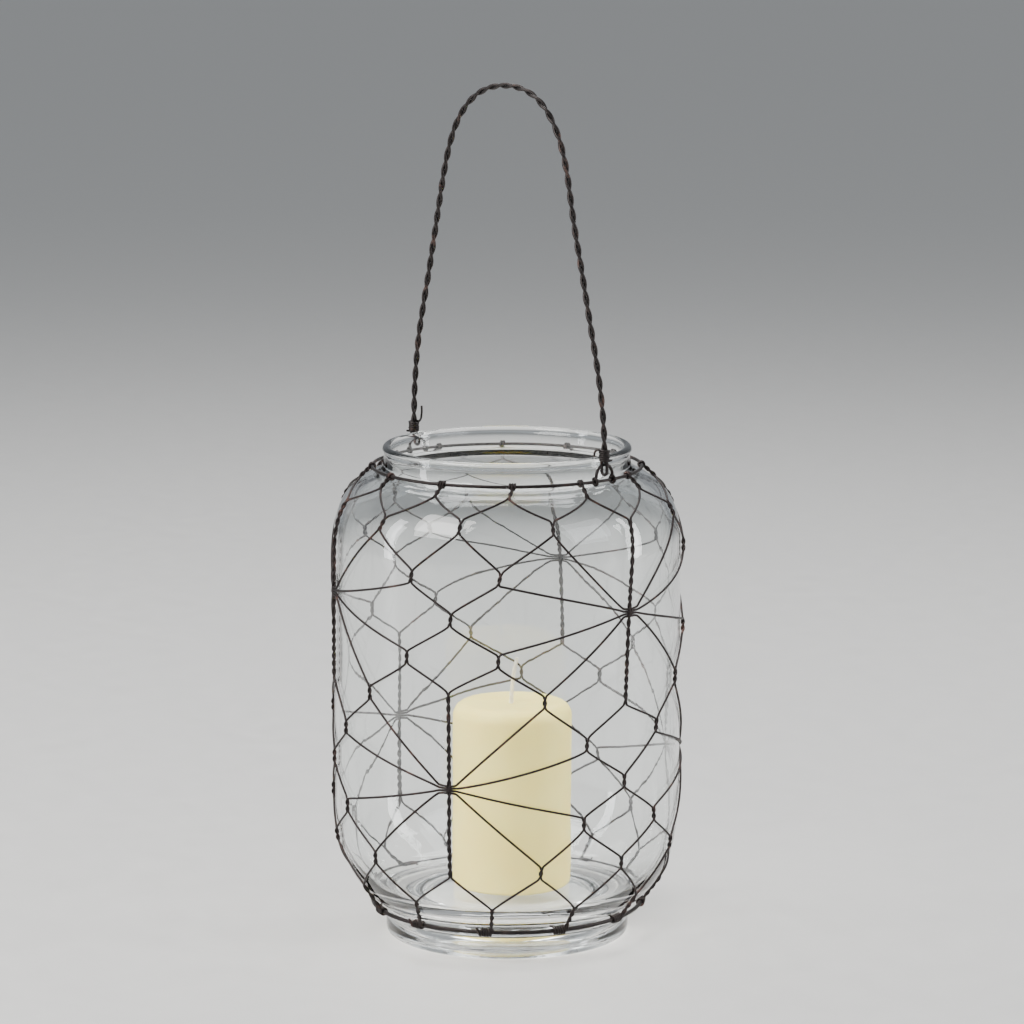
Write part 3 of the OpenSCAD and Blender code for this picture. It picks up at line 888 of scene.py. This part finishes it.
def build_wick(cotton):
    """A plait of cords, each circling the wick's middle, which leans a little at its top."""
    top = CANDLE_Z + CANDLE_H
    lean = bez([(0, 0, top - 3), (0, 0, top + WICK_LEN * 0.4), (0.6, 0.6, top + WICK_LEN * 0.7),
                (1.7, 1.7, top + WICK_LEN)], np.linspace(0, 1, WICK_POINTS)) + (CANDLE_OFF, CANDLE_OFF, 0)
    parts = []
    for k in range(WICK_CORDS):
        turn = TAU * (k / WICK_CORDS + np.linspace(0, 1, WICK_POINTS) * WICK_TURNS)
        path = lean + np.stack([WICK_PLAIT_R * np.cos(turn), WICK_PLAIT_R * np.sin(turn), 0 * turn], 1)
        parts.append(tube(path, np.linspace(0.62, 0.55, WICK_POINTS)))
    obj = make_object("candle_wick", *join(parts), cotton, "candle", "wick_cotton")
    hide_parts("wick")


# ---- light and floor ---------------------------------------------------------------------------
def softbox(name, azimuth, elevation, distance, width, height, power, colour):
    """A rectangular lamp that faces the jar, its azimuth in degrees round from the camera."""
    data = bpy.data.lights.new(name, "AREA")
    data.shape = "RECTANGLE"
    data.size, data.size_y = width, height
    data.energy = power
    data.color = colour
    lamp = bpy.data.objects.new(name, data)
    bpy.context.scene.collection.objects.link(lamp)
    a, e = math.radians(CAM_SIDE + azimuth), math.radians(elevation)
    target = Vector((0, 0, 0.15))
    heading = Vector((math.sin(a) * math.cos(e), -math.cos(a) * math.cos(e), math.sin(e)))
    lamp.location = target + distance * heading
    lamp.rotation_euler = (target - lamp.location).to_track_quat("-Z", "Y").to_euler()


def build_stage():
    size = 60.0
    corners = [(-size, -size, 0), (size, -size, 0), (size, size, 0), (-size, size, 0)]
    mesh = bpy.data.meshes.new("floor")
    mesh.from_pydata(corners, [], [(0, 1, 2, 3)])
    mesh.materials.append(floor_material())
    floor = bpy.data.objects.new("floor", mesh)
    bpy.context.scene.collection.objects.link(floor)

    world = bpy.data.worlds.new("world")
    bpy.context.scene.world = world
    world.use_nodes = True
    background = world.node_tree.nodes["Background"]
    background.inputs["Color"].default_value = (0.72, 0.76, 0.80, 1)
    background.inputs["Strength"].default_value = 0.51

    softbox("key_light", -52, 42, 1.7, 0.9, 0.9, 34, (1.0, 0.98, 0.95))
    softbox("fill_light", 60, 30, 2.0, 1.0, 1.0, 10, (0.93, 0.96, 1.0))
    softbox("back_light", 180, 60, 1.6, 1.2, 1.0, 24, (1.0, 1.0, 1.0))
    softbox("left_strip", -82, 12, 1.5, 0.2, 1.3, 11, (0.97, 0.98, 1.0))
    softbox("right_strip", 92, 10, 1.5, 0.26, 1.3, 15, (1.0, 1.0, 1.0))


add_camera()
build_stage()
steel = wire_material("hoop_wire", (0.016, 0.013, 0.0125), (0.070, 0.030, 0.020), 0.74, 0.42)
netting = wire_material("netting_wire", (0.019, 0.015, 0.0145), (0.085, 0.034, 0.024), 0.70, 0.45)
handle_steel = wire_material("handle_wire", (0.019, 0.016, 0.0155), (0.080, 0.034, 0.022), 0.70, 0.38)
build_jar(glass_material())
build_net(netting)
build_hoop("neck_hoop", "neck_ring", NECK_HOOP_R, NECK_HOOP_Z, NECK_HOOP_D, 1.0, steel)
build_hoop("base_hoop", "base_ring", BASE_HOOP_R, BASE_HOOP_Z, BASE_HOOP_D, 5.0, steel)
build_handle(handle_steel)
build_handle_end("handle_loop_right", "handle_end_right", 1, (2.4, -2.8), handle_steel)
build_handle_end("handle_loop_left", "handle_end_left", -1, (1.6, 7.2), handle_steel)
build_eyelet("hoop_eyelet_right", "eyelet_right", 1, steel)
build_eyelet("hoop_eyelet_left", "eyelet_left", -1, steel)
build_candle(wax_material())
build_wick(wick_material())
